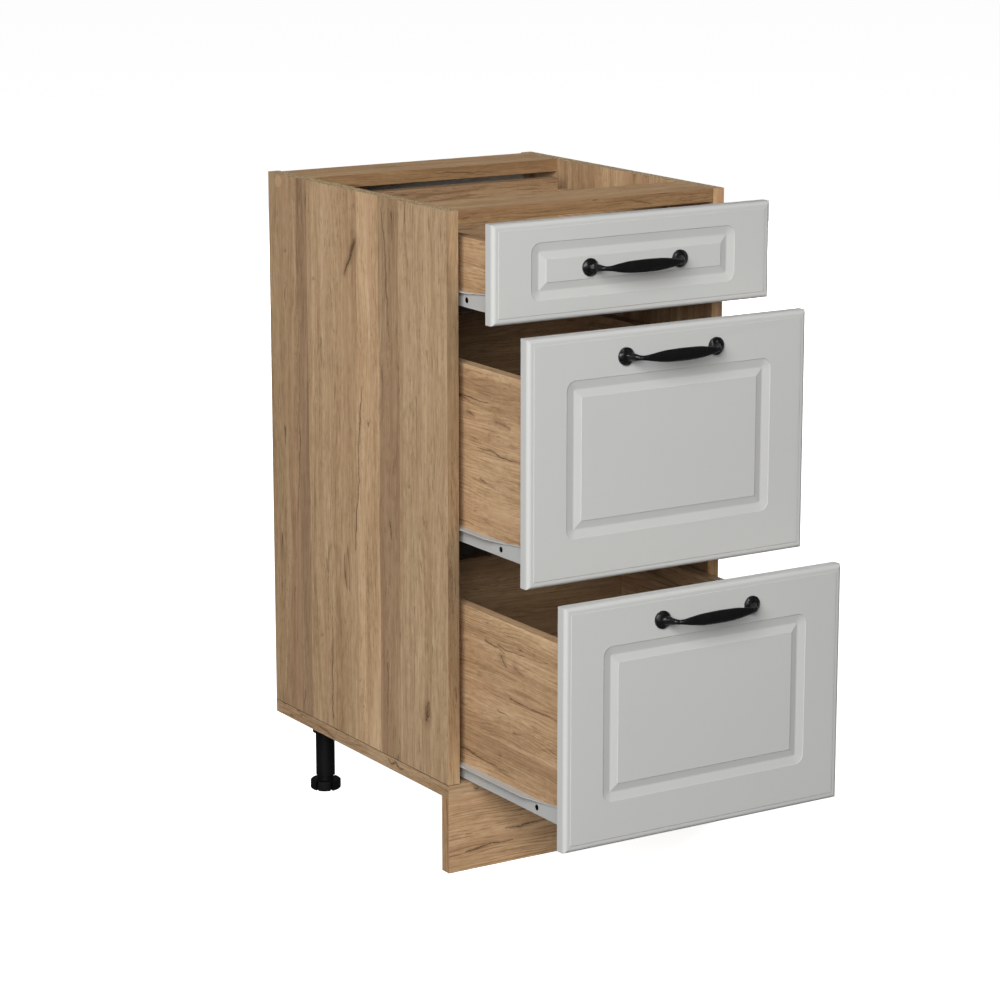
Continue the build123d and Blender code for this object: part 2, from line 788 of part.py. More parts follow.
def rail_screws(drawer):
    """Outer face of the rail's web, where its screws enter the box side."""
    height = drawer.runner + RAIL_SCREW_UP
    return [
        facing(RAIL_WALL, drawer.front_back + spot, height, LEFT)
        for spot in RAIL_SCREW_SPOTS
    ]


def base_sheet_screw(drawer):
    """Underside of the base sheet, where a screw enters the back board."""
    return facing(-BOX_HALF / 2, drawer.box_end - BOARD / 2, drawer.sheet_bottom, DOWN)


def back_board_screws(drawer):
    """Outer face of the box side, where the back board's screws enter."""
    middle = drawer.box_end - BOARD / 2
    return [facing(-BOX_HALF, middle, z, LEFT) for z in drawer.joint_heights()]


def front_joints(drawer):
    """Front ends of the box side, their cams opening into the box."""
    ends = [
        Plane(
            origin=(-BOX_HALF + BOARD / 2, drawer.front_back, z),
            x_dir=RIGHT,
            z_dir=FORWARD,
        )
        for z in drawer.joint_heights()
    ]
    return [end.location for end in ends]


def handle_posts(drawer):
    """Seats of the two handle feet on the front's face."""
    face = drawer.front_back - FRONT_BOARD
    return [
        facing(side * HANDLE_CENTRES / 2, face, drawer.handle_up, BACKWARD) for side in (-1, 1)
    ]


# Drawer boards


def drawer_front(drawer):
    """Milled front: rounded edge, and a field with sloped sides inside a sunk frame."""
    height = drawer.front_height
    middle = (0, drawer.front_back, drawer.front_bottom + height / 2)
    back = Plane(origin=middle, x_dir=RIGHT, z_dir=FORWARD)
    face = back.offset(FRONT_BOARD)
    step = face.offset(-FRAME_STEP)
    frame_width = FRONT_WIDTH - 2 * FRAME_MARGIN
    frame_height = height - 2 * drawer.frame_margin
    foot_inset = 2 * (FRAME_SLOPE + FRAME_FLOOR)
    top_inset = foot_inset + 2 * FRAME_BEVEL
    with BuildPart() as front:
        with BuildSketch(back):
            Rectangle(FRONT_WIDTH, height)
        extrude(amount=FRONT_BOARD - FIELD_STEP)
        fillet(front.faces().sort_by(Axis.Y)[0].edges(), EDGE_ROUND)
        with BuildSketch(back.offset(FRONT_BOARD - FIELD_STEP)):
            Rectangle(FRONT_WIDTH - 2 * EDGE_BAND, height - 2 * EDGE_BAND)
        extrude(amount=FIELD_STEP)
        add(frame_cutter(face, frame_width, frame_height).part, mode=Mode.SUBTRACT)
        with BuildSketch(face.offset(-FRAME_SINK)):
            Rectangle(frame_width - foot_inset, frame_height - foot_inset)
        with BuildSketch(step):
            Rectangle(frame_width - top_inset, frame_height - top_inset)
        loft(ruled=True)
        with BuildSketch(step):
            Rectangle(frame_width - top_inset, frame_height - top_inset)
        extrude(amount=FRAME_STEP)
        cut(BOLT_HOLE, front_joints(drawer))
        cut(BOLT_HOLE, [place.mirror(Plane.YZ) for place in front_joints(drawer)])
        cut(HANDLE_HOLE, handle_posts(drawer))
    return front


def frame_cutter(face, width, height):
    """Body of the sunk frame: a small step at its rounded rim, then a slope to its floor."""
    inset = 2 * FRAME_SLOPE
    step = face.offset(-FRAME_STEP)
    with BuildPart() as cutter:
        with BuildSketch(step):
            RectangleRounded(width, height, FRAME_CORNER)
        extrude(amount=2 * FRAME_STEP)
        with BuildSketch(step):
            RectangleRounded(width, height, FRAME_CORNER)
        with BuildSketch(face.offset(-FRAME_SINK)):
            RectangleRounded(width - inset, height - inset, FRAME_FLOOR_CORNER)
        loft(ruled=True)
    return cutter


def box_side(drawer):
    """Left box side, grooved for the base sheet, its top edges eased."""
    inner = -BOX_HALF + BOARD
    with BuildPart() as side:
        block(
            (-BOX_HALF, inner),
            (drawer.front_back, drawer.box_end),
            (drawer.side_bottom, drawer.side_top),
        )
        rims = side.faces().sort_by(Axis.Z)[-1].edges().filter_by(Axis.Y)
        fillet(rims, BOARD_ROUND)
        low = drawer.sheet_bottom - SHEET_PLAY
        block(
            (inner - GROOVE_DEPTH, inner),
            (drawer.front_back, drawer.box_end),
            (low, low + GROOVE_WIDTH),
            mode=Mode.SUBTRACT,
        )
        cut(CAM_BORE, front_joints(drawer))
        cut(HOUSING_HOLE, back_board_screws(drawer))
        cut(WOOD_HOLE, rail_screws(drawer))
    return side


def box_back(drawer):
    """Back board, as high as the sides and standing on the base sheet."""
    half = BOX_HALF - BOARD
    rise = drawer.back_bottom - drawer.side_bottom
    with BuildPart() as board:
        block(
            (-half, half),
            (drawer.box_end - BOARD, drawer.box_end),
            (drawer.back_bottom, drawer.side_top + rise),
        )
        rims = board.faces().sort_by(Axis.Z)[-1].edges().filter_by(Axis.X)
        fillet(rims, BOARD_ROUND)
        places = back_board_screws(drawer)
        cut(HOUSING_HOLE, places)
        cut(HOUSING_HOLE, [place.mirror(Plane.YZ) for place in places])
        place = base_sheet_screw(drawer)
        cut(WOOD_HOLE, [place, place.mirror(Plane.YZ)])
    return board


def base_sheet(drawer):
    """Hardboard base in the side grooves, running under the back board."""
    half = BOX_HALF - BOARD + GROOVE_DEPTH - SHEET_PLAY
    with BuildPart() as sheet:
        block(
            (-half, half),
            (drawer.front_back, drawer.box_end),
            (drawer.sheet_bottom, drawer.sheet_bottom + HARDBOARD),
        )
        place = base_sheet_screw(drawer)
        cut(WOOD_HOLE, [place, place.mirror(Plane.YZ)])
    return sheet


# Handles


def grip_sections(drawer):
    """Plane, height and thickness of each section of the grip, from end to end."""
    face = drawer.front_back - FRONT_BOARD
    half_span = HANDLE_CENTRES / 2
    left_half = [(-x, reach, tall, thick) for x, reach, tall, thick in GRIP_SHARES]
    right_half = GRIP_SHARES[-2::-1]
    stations = left_half + list(right_half)
    spots = [(x * half_span, face - reach * GRIP_REACH) for x, reach, tall, thick in stations]
    sections = []
    for index, (x, y) in enumerate(spots):
        before = spots[max(index - 1, 0)]
        after = spots[min(index + 1, len(spots) - 1)]
        run = hypot(after[0] - before[0], after[1] - before[1])
        along = ((after[0] - before[0]) / run, (after[1] - before[1]) / run, 0)
        plane = Plane(origin=(x, y, drawer.handle_up), x_dir=(0, 0, 1), z_dir=along)
        tall, thick = stations[index][2:]
        sections.append((plane, tall * GRIP_HEIGHT / 2, thick * GRIP_THICKNESS / 2))
    return sections


def handle(drawer):
    """Bow handle: domed rosettes and a grip that swells towards its middle."""
    face = drawer.front_back - FRONT_BOARD
    with BuildPart() as bow:
        for plane, tall, thick in grip_sections(drawer):
            with BuildSketch(plane):
                Ellipse(tall, thick)
        loft()
        with Locations(*handle_posts(drawer)):
            add(rosette().part)
        block(
            (-HANDLE_CENTRES, HANDLE_CENTRES),
            (face, face + GRIP_REACH),
            (drawer.handle_up - GRIP_HEIGHT, drawer.handle_up + GRIP_HEIGHT),
            mode=Mode.SUBTRACT,
        )
        cut(HANDLE_HOLE, handle_posts(drawer))
    return bow


def rosette():
    """Domed foot of the handle, standing off local Z = 0 towards -Z."""
    with BuildPart() as dome:
        with BuildSketch(Plane.XZ):
            with BuildLine():
                Line((0, 0), (ROSETTE_RADIUS, 0))
                Line((ROSETTE_RADIUS, 0), (ROSETTE_RADIUS, -ROSETTE_RIM))
                ThreePointArc(
                    (ROSETTE_RADIUS, -ROSETTE_RIM),
                    (DOME_SHARE * ROSETTE_RADIUS, -(ROSETTE_RIM + 2 * ROSETTE_RISE) / 3),
                    (0, -ROSETTE_RISE),
                )
                Line((0, -ROSETTE_RISE), (0, 0))
            make_face()
        revolve(axis=Axis.Z)
    return dome


# The whole cabinet


def save_carcass():
    """Boards, legs and fittings that stay put."""
    left = side_panel()
    save(left, "left_side_panel")
    save(other_hand(left), "right_side_panel")
    save(base_panel(), "base_panel")
    save(front_rail(), "front_top_rail")
    save(back_rail(), "back_top_rail")
    save(back_sheet(), "back_sheet")
    save(plinth(), "plinth_board")
    save(plinth_clips(), "plinth_clips")
    save(mounting_plates(), "leg_mounting_plates")
    save(leg_tubes(), "leg_tubes")


def save_carcass_fasteners():
    """Screws, cams, dowels and caps of the carcass."""
    screws = leg_screws() + clip_screws()
    for drawer in DRAWERS:
        screws = screws + channel_screws(drawer)
    save(group(WOOD_SCREW, screws, mirrored=True), "carcass_wood_screws")
    housing = [back_rail_screw()] + base_screws()
    save(group(HOUSING_SCREW, housing, mirrored=True), "carcass_housing_screws")
    with BuildPart() as fittings:
        with Locations(rail_joint(RAIL_CAM_INSET)):
            add(CAM)
            add(BOLT)
        with Locations(rail_joint(RAIL_DOWEL_INSET)):
            add(DOWEL)
        mirror(about=Plane.YZ)
    save(fittings, "front_rail_fittings")
    cap = rod(CAP_RADIUS, 0, CAP_HEIGHT).part
    save(group(cap, [back_rail_screw()], mirrored=True), "cover_caps")


def save_feet():
    """One adjusting foot for each leg."""
    for end, y in (("front", FRONT_LEG_Y), ("back", BACK_LEG_Y)):
        for hand, x in (("left", -LEG_X), ("right", LEG_X)):
            save(foot(x, y), f"{end}_{hand}_foot")


def save_drawer(drawer):
    """One drawer: front, box, rails, rollers, handle and fasteners."""
    name = f"{drawer.name}_drawer"
    save(drawer_front(drawer), f"{name}_front")
    side = box_side(drawer)
    save(side, f"{name}_left_side")
    save(other_hand(side), f"{name}_right_side")
    save(box_back(drawer), f"{name}_back_board")
    save(base_sheet(drawer), f"{name}_base_sheet")
    save(drawer_rails(drawer), f"{name}_rails")
    save(rollers(RAIL_WALL, LEFT, RAIL_STANDOFF, *rail_axle(drawer)), f"{name}_rollers")
    save(handle(drawer), f"{name}_handle")
    save_drawer_fasteners(drawer, name)


def save_drawer_fasteners(drawer, name):
    """Screws and cams of one drawer."""
    backs = [
        facing(side * HANDLE_CENTRES / 2, drawer.front_back, drawer.handle_up, BACKWARD)
        for side in (-1, 1)
    ]
    save(group(pan_screw(FRONT_BOARD).part, backs), f"{name}_handle_screws")
    housing = back_board_screws(drawer)
    save(group(HOUSING_SCREW, housing, mirrored=True), f"{name}_housing_screws")
    wood = rail_screws(drawer) + [base_sheet_screw(drawer)]
    save(group(WOOD_SCREW, wood, mirrored=True), f"{name}_wood_screws")
    with BuildPart() as cams:
        with Locations(*front_joints(drawer)):
            add(CAM)
            add(BOLT)
        mirror(about=Plane.YZ)
    save(cams, f"{name}_front_cams")


def save_cabinet_runner(drawer):
    """Channels and front rollers that carry one drawer."""
    save(cabinet_channels(drawer), f"{drawer.name}_cabinet_channels")
    pair = rollers(CHANNEL_WALL, RIGHT, CHANNEL_STANDOFF, *channel_axle(drawer))
    save(pair, f"{drawer.name}_cabinet_rollers")


save_carcass()
save_carcass_fasteners()
save_feet()
for cabinet_drawer in DRAWERS:
    save_drawer(cabinet_drawer)
    save_cabinet_runner(cabinet_drawer)
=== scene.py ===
from math import radians

import bpy
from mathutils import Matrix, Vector


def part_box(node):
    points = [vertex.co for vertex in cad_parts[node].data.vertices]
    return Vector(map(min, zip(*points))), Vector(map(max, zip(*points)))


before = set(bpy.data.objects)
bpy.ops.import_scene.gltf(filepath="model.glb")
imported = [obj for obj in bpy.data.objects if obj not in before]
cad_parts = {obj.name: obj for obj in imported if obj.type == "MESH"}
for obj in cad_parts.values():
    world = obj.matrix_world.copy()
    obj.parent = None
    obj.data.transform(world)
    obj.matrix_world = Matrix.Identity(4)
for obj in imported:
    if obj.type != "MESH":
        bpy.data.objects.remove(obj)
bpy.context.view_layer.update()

# Camera, worked out from the corners of the cabinet in the photograph
CAMERA_PLACE = (-2.1355, -3.2780, 1.3324)
CAMERA_HEADING = radians(32.13)
CAMERA_PITCH = radians(12.99)
CAMERA_LENS = 115.85
CAMERA_REACH = 200.0

# Light and floor
WORLD_LIGHT = 0.12
KEY_PLACE = (-3.40, -3.52, 2.73)
LIGHT_AIM = (0.0, 0.0, 0.45)
LIGHT_SIZE = 3.4
KEY_POWER = 345.0
FILL_PLACE = (3.7, 3.7, 1.50)
FILL_POWER = 215.0
FLOOR_SIZE = 120.0
FLOOR_GLOW = 0.86
BACKDROP_HEIGHT = 60.0

# Radius that sharp edges are shaded with, in metres
BOARD_EDGE = 0.0006
STEEL_EDGE = 0.0003

AXES = "xyz"


def shade(red, green, blue):
    """Linear colour from the 0 to 255 values that a screen shows."""
    linear = []
    for value in (red, green, blue):
        part = value / 255
        linear.append(part / 12.92 if part <= 0.04045 else ((part + 0.055) / 1.055) ** 2.4)
    return (*linear, 1.0)


class Tree:
    """A node tree, with a short call for each kind of node that the materials share."""

    def __init__(self, tree):
        self.tree = tree

    def add(self, kind, inputs=(), **settings):
        node = self.tree.nodes.new(kind)
        for name, value in settings.items():
            setattr(node, name, value)
        for key, value in dict(inputs).items():
            self.feed(node.inputs[key], value)
        return node

    def feed(self, socket, value):
        if isinstance(value, bpy.types.NodeSocket):
            self.tree.links.new(value, socket)
        else:
            socket.default_value = value

    def math(self, operation, *values, clamp=False):
        inputs = dict(enumerate(values))
        return self.add("ShaderNodeMath", inputs, operation=operation, use_clamp=clamp).outputs[0]

    def vector_math(self, operation, *values, output=0):
        return self.add("ShaderNodeVectorMath", dict(enumerate(values)), operation=operation).outputs[output]

    def vector(self, x=0.0, y=0.0, z=0.0):
        return self.add("ShaderNodeCombineXYZ", {"X": x, "Y": y, "Z": z}).outputs[0]

    def split(self, vector):
        return self.add("ShaderNodeSeparateXYZ", {"Vector": vector}).outputs

    def noise(self, place, grain, detail=2.0, roughness=0.5, distortion=0.0):
        """Noise from 0 to 1 whose features are as large as grain, in metres, each way."""
        inputs = {
            "Vector": self.vector_math("DIVIDE", place, grain),
            "Scale": 1.0,
            "Detail": detail,
            "Roughness": roughness,
            "Distortion": distortion,
        }
        return self.add("ShaderNodeTexNoise", inputs).outputs["Fac"]

    def cells(self, place, grain, feature="F1"):
        """Random cells as large as grain, in metres, each way."""
        inputs = {"Vector": self.vector_math("DIVIDE", place, grain), "Scale": 1.0}
        return self.add("ShaderNodeTexVoronoi", inputs, feature=feature).outputs

    def ease(self, value, low, high, start=0.0, end=1.0):
        """value from low to high becomes start to end, smoothly."""
        inputs = {"Value": value, "From Min": low, "From Max": high, "To Min": start, "To Max": end}
        return self.add("ShaderNodeMapRange", inputs, interpolation_type="SMOOTHSTEP").outputs["Result"]

    def stretch(self, value, low, high, start=0.0, end=1.0):
        """value from low to high becomes start to end, evenly."""
        inputs = {"Value": value, "From Min": low, "From Max": high, "To Min": start, "To Max": end}
        return self.add("ShaderNodeMapRange", inputs).outputs["Result"]

    def mix(self, share, first, second, blend="MIX"):
        node = self.add("ShaderNodeMix", data_type="RGBA", blend_type=blend)
        self.feed(node.inputs[0], share)
        self.feed(node.inputs[6], first)
        self.feed(node.inputs[7], second)
        return node.outputs[2]

    def ramp(self, value, stops, steps="LINEAR"):
        """Colour of value from a list of (place, colour)."""
        node = self.add("ShaderNodeValToRGB", {"Fac": value})
        node.color_ramp.interpolation = steps
        elements = node.color_ramp.elements
        while len(elements) < len(stops):
            elements.new(0.5)
        for element, (place, colour) in zip(elements, stops):
            element.position = place
            element.color = colour
        return node.outputs["Color"]

    def bump(self, height, distance, strength=1.0, normal=None):
        inputs = {"Height": height, "Distance": distance, "Strength": strength}
        if normal is not None:
            inputs["Normal"] = normal
        return self.add("ShaderNodeBump", inputs).outputs["Normal"]

    def rounded(self, radius):
        """Normal that makes sharp edges look rounded."""
        return self.add("ShaderNodeBevel", {"Radius": radius}, samples=4).outputs["Normal"]

    def place(self):
        """Place on the object, in metres."""
        return self.add("ShaderNodeTexCoord").outputs["Object"]

    def group(self, tree, inputs):
        node = self.add("ShaderNodeGroup", node_tree=tree)
        for name, value in inputs.items():
            self.feed(node.inputs[name], value)
        return node


def new_group(name, inputs, outputs):
    """Node group with its sockets: (Tree, inputs, outputs)."""
    group = bpy.data.node_groups.new(name, "ShaderNodeTree")
    for label, kind in inputs:
        group.interface.new_socket(label, in_out="INPUT", socket_type=f"NodeSocket{kind}")
    for label, kind in outputs:
        group.interface.new_socket(label, in_out="OUTPUT", socket_type=f"NodeSocket{kind}")
    tree = Tree(group)
    entry = tree.add("NodeGroupInput").outputs
    leave = tree.add("NodeGroupOutput").inputs
    return tree, entry, leave


def new_material(name, **settings):
    """(material, Tree, shader) of a new material, with the shader's even values set on its own sockets."""
    material = bpy.data.materials.new(name)
    material.use_nodes = True
    tree = Tree(material.node_tree)
    shader = material.node_tree.nodes["Principled BSDF"]
    for label, value in settings.items():
        shader.inputs[label.replace("_", " ").title().replace("Ior", "IOR")].default_value = value
    return material, tree, shader


# Oak decor

DARK_OAK = shade(142, 111, 80)
MIDDLE_OAK = shade(178, 147, 112)
PALE_OAK = shade(202, 173, 138)
RED_OAK = shade(172, 136, 106)
PORE = shade(98, 70, 46)
CRACK = shade(78, 53, 34)
STAIN = shade(112, 84, 58)


def make_decor():
    """Node group: printed oak. Grain is the place across and along the grain, and a seed, in metres.
    Lines says how clearly the growth rings show."""
    tree, entry, leave = new_group(
        "oak_decor",
        [("Grain", "Vector"), ("Lines", "Float")],
        [("Color", "Color"), ("Height", "Float")],
    )
    grain = entry["Grain"]
    sway = tree.noise(grain, (0.05, 0.28, 0.05), detail=2.0)
    flow = tree.vector_math("ADD", grain, tree.vector(tree.stretch(sway, 0.0, 1.0, -0.016, 0.016)))

    clouds = tree.noise(flow, (0.020, 0.30, 0.05), detail=3.0)
    bands = tree.noise(flow, (0.0075, 0.50, 0.05), detail=1.0)
    streaks = tree.noise(flow, (0.0024, 0.075, 0.05), detail=3.0, roughness=0.65)
    fibres = tree.noise(flow, (0.0010, 0.020, 0.05), detail=3.0, roughness=0.7)
    flecks = tree.noise(flow, (0.0017, 0.034, 0.05), detail=2.0, roughness=0.6)
    mottle = tree.noise(grain, (0.006, 0.014, 0.05), detail=3.0, roughness=0.6)

    warp = tree.noise(grain, (0.030, 0.24, 0.05), detail=2.0, roughness=0.55)
    rings = tree.math("MULTIPLY_ADD", warp, 8.0, tree.math("DIVIDE", tree.split(grain)[0], 0.0042))
    rings = tree.math("SINE", tree.math("MULTIPLY", rings, 6.283))
    rings = tree.ease(rings, 0.25, 0.95)
    patchy = tree.ease(tree.noise(grain, (0.03, 0.10, 0.06), detail=2.0), 0.35, 0.60, 0.25, 1.0)
    ring = tree.math("MULTIPLY", tree.math("MULTIPLY", rings, patchy), entry["Lines"])

    tone = tree.math("MULTIPLY", clouds, 0.65)
    tone = tree.math("MULTIPLY_ADD", bands, 0.40, tone)
    tone = tree.math("MULTIPLY_ADD", streaks, 0.60, tone)
    tone = tree.math("MULTIPLY_ADD", fibres, 0.45, tone)
    tone = tree.math("MULTIPLY_ADD", flecks, 0.55, tone)
    tone = tree.math("MULTIPLY_ADD", mottle, 0.35, tone)
    tone = tree.math("MULTIPLY_ADD", ring, -0.34, tone)
    colour = tree.ramp(
        tree.stretch(tone, 1.14, 1.80),
        [(0.0, DARK_OAK), (0.5, MIDDLE_OAK), (1.0, PALE_OAK)],
    )
    redness = tree.noise(flow, (0.016, 0.60, 0.05), detail=2.0)
    colour = tree.mix(tree.ease(redness, 0.45, 0.68, 0.0, 0.5), colour, RED_OAK)

    pores = tree.noise(flow, (0.0008, 0.011, 0.05), detail=2.0, roughness=0.7)
    pore_field = tree.noise(grain, (0.02, 0.12, 0.05), detail=1.0)
    pore = tree.math("MULTIPLY", tree.ease(pores, 0.57, 0.70), tree.stretch(pore_field, 0.35, 0.65))
    colour = tree.mix(tree.math("MULTIPLY", pore, 0.7), colour, PORE)
    dashes = tree.noise(flow, (0.0017, 0.026, 0.05), detail=2.0, roughness=0.55)
    dash = tree.ease(dashes, 0.62, 0.70, 0.0, 0.6)
    dash = tree.math("MULTIPLY", dash, tree.stretch(pore_field, 0.35, 0.60))
    colour = tree.mix(dash, colour, CRACK)

    ripple = tree.noise(grain, (0.045, 0.40, 0.05), detail=2.0)
    off_line = tree.math("ABSOLUTE", tree.math("SUBTRACT", ripple, 0.5))
    crack_field = tree.noise(grain, (0.05, 0.09, 0.07), detail=1.0)
    here = tree.ease(crack_field, 0.66, 0.73)
    halo = tree.math("MULTIPLY", tree.ease(off_line, 0.035, 0.0, 0.0, 0.35), here)
    crack = tree.math("MULTIPLY", tree.ease(off_line, 0.005, 0.001, 0.0, 0.70), here)
    colour = tree.mix(halo, colour, STAIN)
    colour = tree.mix(crack, colour, CRACK)

    height = tree.math("MULTIPLY_ADD", streaks, 0.3, tree.math("MULTIPLY", fibres, 0.5))
    height = tree.math("MULTIPLY_ADD", ring, -0.35, height)
    height = tree.math("SUBTRACT", height, tree.math("MULTIPLY_ADD", pore, 0.6, crack))
    tree.feed(leave["Color"], colour)
    tree.feed(leave["Height"], height)
    return tree.tree


def make_strips():
    """Node group: tint of the strips that the decor is put together from."""
    tree, entry, leave = new_group("oak_strips", [("Grain", "Vector")], [("Tint", "Color")])
    strip = tree.split(tree.cells(entry["Grain"], (0.050, 2.6, 0.05))["Color"])
    tint = tree.ramp(
        strip[0],
        [
            (0.0, (0.82, 0.80, 0.77, 1.0)),
            (0.3, (0.94, 0.91, 0.89, 1.0)),
            (0.6, (1.02, 1.02, 1.02, 1.0)),
            (1.0, (1.08, 1.09, 1.10, 1.0)),
        ],
    )
    tree.feed(leave["Tint"], tint)
    return tree.tree


def make_chipboard():
    """Node group: raw chipboard, from the place in metres."""
    tree, entry, leave = new_group(
        "raw_chipboard", [("Place", "Vector")], [("Color", "Color"), ("Height", "Float")]
    )
    chips = tree.cells(entry["Place"], (0.0020, 0.0032, 0.0020))
    speck = tree.noise(entry["Place"], (0.0013, 0.0018, 0.0013), detail=3.0, roughness=0.7)
    chip = tree.split(chips["Color"])
    colour = tree.ramp(
        chip[0], [(0.0, shade(160, 132, 93)), (0.4, shade(198, 170, 128)), (1.0, shade(224, 198, 156))]
    )
    colour = tree.mix(tree.ease(speck, 0.52, 0.60, 0.0, 0.85), colour, shade(84, 64, 42))
    tree.feed(leave["Color"], colour)
    tree.feed(leave["Height"], tree.math("SUBTRACT", chip[1], speck))
    return tree.tree


def make_stroke():
    """Node group: how far Place is from a stroke from Start to End, in shares of the stroke's width
    there, which is From at its start and To at its end."""
    sockets = [
        ("Place", "Vector"), ("Start", "Vector"), ("End", "Vector"), ("From", "Float"), ("To", "Float"),
    ]
    tree, entry, leave = new_group("stroke", sockets, [("Away", "Float")])
    along = tree.vector_math("SUBTRACT", entry["End"], entry["Start"])
    away = tree.vector_math("SUBTRACT", entry["Place"], entry["Start"])
    reach = tree.vector_math("DOT_PRODUCT", along, along, output="Value")
    passed = tree.vector_math("DOT_PRODUCT", away, along, output="Value")
    share = tree.math("DIVIDE", passed, reach, clamp=True)
    nearest = tree.add("ShaderNodeVectorMath", {0: along, "Scale": share}, operation="SCALE").outputs[0]
    distance = tree.vector_math("LENGTH", tree.vector_math("SUBTRACT", away, nearest), output="Value")
    width = tree.stretch(share, 0.0, 1.0, entry["From"], entry["To"])
    tree.feed(leave["Away"], tree.math("DIVIDE", distance, width))
    return tree.tree


DECOR = make_decor()
STRIPS = make_strips()
CHIPBOARD = make_chipboard()
STROKE = make_stroke()


def board_material(name, faces, seed, lines=0.3, strips=None, marks=(), tone=None, edge=None):
    """Decor-faced board. faces says for faces square to X, Y and Z which way the grain runs there and which
    way lies across it, or chip for a raw edge. tone and edge are painted light and shade: tone tints the
    whole decor, edge only its faces square to Y."""
    material, tree, shader = new_material(f"{name}_oak", roughness=0.48, specular_ior_level=0.4)
    place = tree.place()
    spot = tree.split(place)
    normal = tree.split(tree.add("ShaderNodeTexCoord").outputs["Normal"])
    size = [tree.math("ABSOLUTE", part) for part in normal]
    square_x = tree.math("GREATER_THAN", size[0], tree.math("MAXIMUM", size[1], size[2]))
    square_y = tree.math("GREATER_THAN", size[1], tree.math("MAXIMUM", size[0], size[2]))
    square_z = tree.math("SUBTRACT", tree.math("SUBTRACT", 1.0, square_x), square_y, clamp=True)
    squares = (square_x, square_y, square_z)
    along = 0.0
    across = 0.0
    raw = 0.0
    for square, face in zip(squares, faces):
        if face == "chip":
            raw = tree.math("ADD", square, raw)
            continue
        along = tree.math("MULTIPLY_ADD", square, spot[AXES.index(face[0])], along)
        across = tree.math("MULTIPLY_ADD", square, spot[AXES.index(face[1])], across)
    layer = tree.math("MULTIPLY_ADD", square_y, 0.37, seed)
    grain = tree.vector(across, along, layer)
    decor = tree.group(DECOR, {"Grain": grain, "Lines": lines})
    height = decor.outputs["Height"]
    if strips:
        behind = tree.math("SUBTRACT", spot[1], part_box(name)[0][1])
        edge = tree.noise(grain, (0.09, 0.25, 0.05), detail=1.0)
        behind = tree.math("ADD", behind, tree.stretch(edge, 0.0, 1.0, -0.006, 0.006))
        tint = tree.ramp(tree.stretch(behind, 0.0, STRIP_REACH), strips, "CONSTANT")
    else:
        tint = tree.group(STRIPS, {"Grain": grain}).outputs["Tint"]
    colour = tree.mix(1.0, decor.outputs["Color"], tint, "MULTIPLY")
    # Painted light and shade: tone tints the whole decor and edge only its faces square to Y, to stand in
    # for how light falls on them
    if tone:
        colour = tree.mix(1.0, colour, tone, "MULTIPLY")
    if edge:
        colour = tree.mix(square_y, colour, tree.mix(1.0, colour, edge, "MULTIPLY"))
    for axis, strokes in marks:
        colour = draw_marks(tree, name, colour, squares, spot, axis, strokes)
    if name.endswith("side_panel"):
        colour = draw_panel_ends(tree, name, colour, squares, spot)
    if raw != 0.0:
        chipboard = tree.group(CHIPBOARD, {"Place": place})
        colour = tree.mix(raw, colour, chipboard.outputs["Color"])
        height = tree.math("MULTIPLY_ADD", raw, chipboard.outputs["Height"], height)
    tree.feed(shader.inputs["Base Color"], colour)
    tree.feed(shader.inputs["Roughness"], tree.stretch(height, 0.0, 0.8, 0.58, 0.46))
    tree.feed(shader.inputs["Normal"], tree.bump(height, 0.00016, 0.6, tree.rounded(BOARD_EDGE)))
    return material


# Heights above the base panel, in metres, between which the dark joint fades in, and its strength
JOINT_SPAN = (0.0016, 0.0005)
JOINT_STRENGTH = 0.85

# Painted light on a side panel's front edge: tints that lighten it at its foot and BANDING_REACH metres
# above it
BANDING_REACH = 0.7
BANDING_PAINTED_LIGHT_LOW = (1.50, 1.42, 1.31, 1.0)
BANDING_PAINTED_LIGHT_HIGH = (1.22, 1.18, 1.12, 1.0)

# Distance from a mark, in shares of its width, where nothing shows, and how far a faint mark is moved there
FAR_FROM_MARK = 9.0
MARK_FADING = 0.7

# Share of a mark's width that is left at a tapered end
MARK_TAPER = 0.35

# Distances from a mark, in shares of its width, between which its core and its halo fade in
CORE_SPAN = (1.0, 0.25)
HALO_SPAN = (3.2, 0.5)
HALO_STRENGTH = 0.35


def draw_panel_ends(tree, name, colour, squares, spot):
    """Dark joint over the base panel, and painted light that makes the front edge lighter towards the floor.
    """
    above = tree.math("SUBTRACT", spot[2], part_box(name)[0][2])
    joint = tree.math("MULTIPLY", tree.ease(above, *JOINT_SPAN), JOINT_STRENGTH)
    colour = tree.mix(joint, colour, CRACK)
    # Painted light: the front edge's faces square to Y are tinted lighter, most at the foot
    painted_edge_light = tree.mix(tree.stretch(above, 0.0, BANDING_REACH), BANDING_PAINTED_LIGHT_LOW, BANDING_PAINTED_LIGHT_HIGH)
    painted_lit_colour = tree.mix(1.0, colour, painted_edge_light, "MULTIPLY")
    return tree.mix(squares[1], colour, painted_lit_colour)


